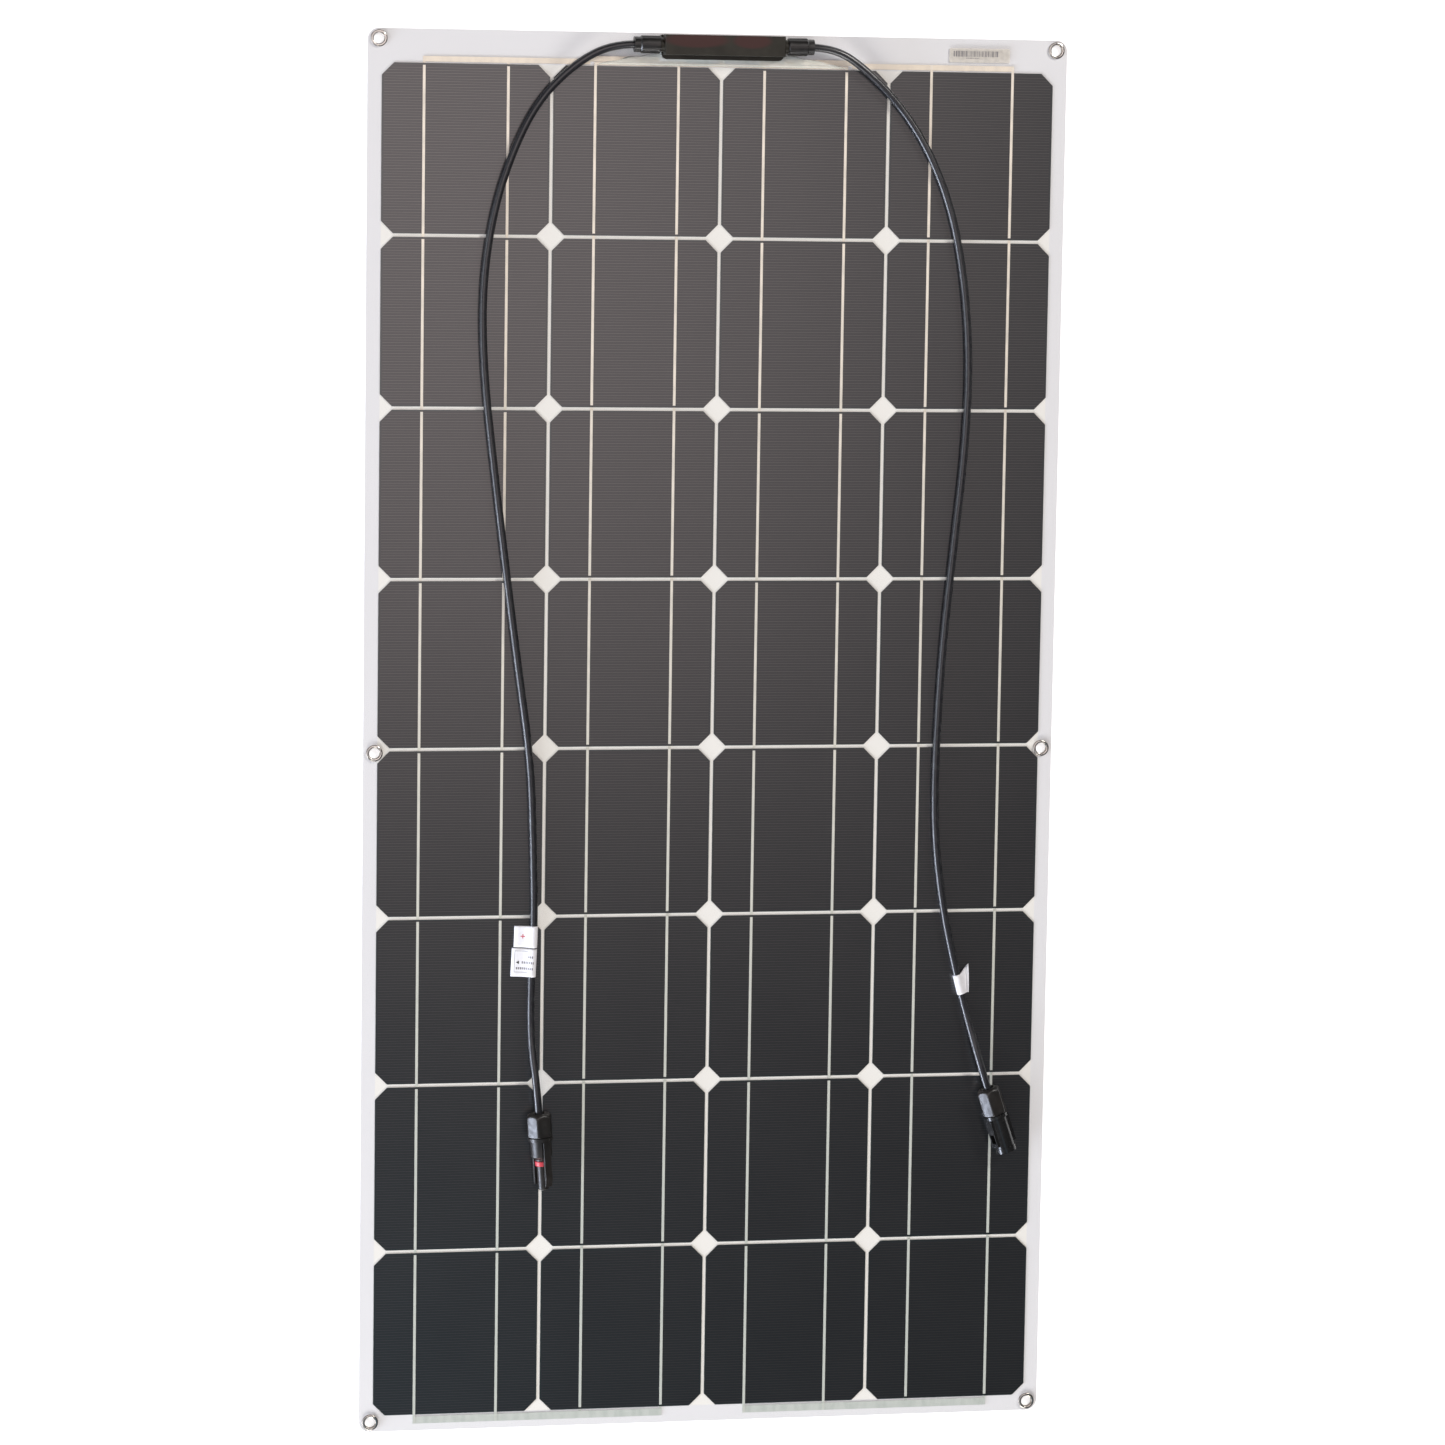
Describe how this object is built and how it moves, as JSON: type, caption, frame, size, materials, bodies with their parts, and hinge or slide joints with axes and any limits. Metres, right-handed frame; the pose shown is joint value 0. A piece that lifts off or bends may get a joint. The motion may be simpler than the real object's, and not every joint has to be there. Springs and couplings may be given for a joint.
{
  "type": "flexible solar sheet",
  "caption": "Thin bendable solar laminate with dark wafer cells, eyelets at its edges, an edge junction box and two loose leads that end in a latching plug and socket.",
  "frame": {"origin": "middle of the laminate on its back face", "axes": "+Y along the sheet towards the junction box, +X across it with the plug lead on the -X side, +Z out of the lit face"},
  "size_m": [0.529, 1.055, 0.0228],
  "materials": {
    "white_backsheet": "fine matt film",
    "encapsulant": "clear, set between the layers",
    "front_film": "clear film with a fine texture",
    "silicon": "dark anti-reflection coat with fine printed fingers",
    "tinned_copper": "tinned strip",
    "stainless": "pressed and polished",
    "clear_adhesive": "cured silicone, milky clear",
    "black_plastic": "fine spark texture",
    "black_rubber": "plain",
    "potting": "poured",
    "diode_body": "moulded",
    "cable_jacket": "smooth extruded, slight sheen",
    "white_label": "smooth coated",
    "cream_sticker": "half clear film",
    "contact_metal": "tinned",
    "red_rubber": "plain"
  },
  "bodies": {
    "sheet_upper": {"backsheet_upper": "white_backsheet", "encapsulant_upper": "encapsulant", "front_film_upper": "front_film", "cell_row_1": "silicon", "cell_row_2": "silicon", "cell_row_3": "silicon", "cell_row_4": "silicon", "tabbing_ribbons_row_1": "tinned_copper", "tabbing_ribbons_row_2": "tinned_copper", "tabbing_ribbons_row_3": "tinned_copper", "tabbing_ribbons_row_4": "tinned_copper", "top_bus_ribbons": "tinned_copper", "bus_leads": "tinned_copper", "eyelets_upper": "stainless", "eyelet_washers_upper": "stainless", "box_adhesive": "clear_adhesive", "box_base": "black_plastic", "box_lid": "black_plastic", "box_gasket": "black_rubber", "box_potting": "potting", "terminal_plates": "tinned_copper", "bypass_diodes": "diode_body", "gland_seals": "black_rubber", "cable_tails": "cable_jacket", "cable_left_upper": "cable_jacket", "cable_right_upper": "cable_jacket", "serial_sticker": "cream_sticker"},
    "sheet_lower": {"backsheet_lower": "white_backsheet", "encapsulant_lower": "encapsulant", "front_film_lower": "front_film", "cell_row_5": "silicon", "cell_row_6": "silicon", "cell_row_7": "silicon", "cell_row_8": "silicon", "tabbing_ribbons_row_5": "tinned_copper", "tabbing_ribbons_row_6": "tinned_copper", "tabbing_ribbons_row_7": "tinned_copper", "tabbing_ribbons_row_8": "tinned_copper", "bottom_bus_ribbons": "tinned_copper", "eyelets_lower": "stainless", "eyelet_washers_lower": "stainless", "cable_left_lower": "cable_jacket", "cable_right_lower": "cable_jacket", "cable_label_plus": "white_label", "cable_label_arrow": "white_label", "cable_label_minus": "white_label", "plug_housing": "black_plastic", "plug_pin": "contact_metal", "plug_ring_seal": "red_rubber", "socket_housing": "black_plastic", "socket_contact": "contact_metal", "connector_seals": "black_rubber"},
    "gland_nut_left": {"gland_nut_left": "black_plastic"},
    "gland_nut_right": {"gland_nut_right": "black_plastic"},
    "plug_nut": {"plug_nut": "black_plastic"},
    "socket_nut": {"socket_nut": "black_plastic"},
    "latch_finger_upper": {"latch_finger_upper": "black_plastic"},
    "latch_finger_lower": {"latch_finger_lower": "black_plastic"}
  },
  "joints": [
    {"name": "sheet_flex", "type": "hinge", "parent": "sheet_upper", "child": "sheet_lower", "pos_m": [0, -0.00625, 0.0025], "axis": [-1, 0, 0], "range_deg": [0, 20], "stiffness_Nm_per_rad": 10},
    {"name": "gland_nut_left_turn", "type": "hinge", "parent": "sheet_upper", "child": "gland_nut_left", "pos_m": [-0.0553, 0.5188, 0.0102], "axis": [-1, 0, 0], "continuous": true},
    {"name": "gland_nut_right_turn", "type": "hinge", "parent": "sheet_upper", "child": "gland_nut_right", "pos_m": [0.0553, 0.5188, 0.0102], "axis": [1, 0, 0], "continuous": true},
    {"name": "plug_nut_turn", "type": "hinge", "parent": "sheet_lower", "child": "plug_nut", "pos_m": [-0.13011, -0.29097, 0.01284], "axis": [-0.0767, 0.9969, 0.0175], "continuous": true},
    {"name": "socket_nut_turn", "type": "hinge", "parent": "sheet_lower", "child": "socket_nut", "pos_m": [0.22006, -0.27873, 0.01264], "axis": [-0.3173, 0.9482, 0.0175], "continuous": true},
    {"name": "latch_finger_upper_flex", "type": "hinge", "parent": "sheet_lower", "child": "latch_finger_upper", "pos_m": [-0.12578, -0.30379, 0.01945], "axis": [0.8956, 0.0766, -0.4383], "range_deg": [0, 3], "stiffness_Nm_per_rad": 0.5},
    {"name": "latch_finger_lower_flex", "type": "hinge", "parent": "sheet_lower", "child": "latch_finger_lower", "pos_m": [-0.13244, -0.30407, 0.00579], "axis": [-0.8956, -0.0766, 0.4383], "range_deg": [0, 3], "stiffness_Nm_per_rad": 0.5}
  ]
}
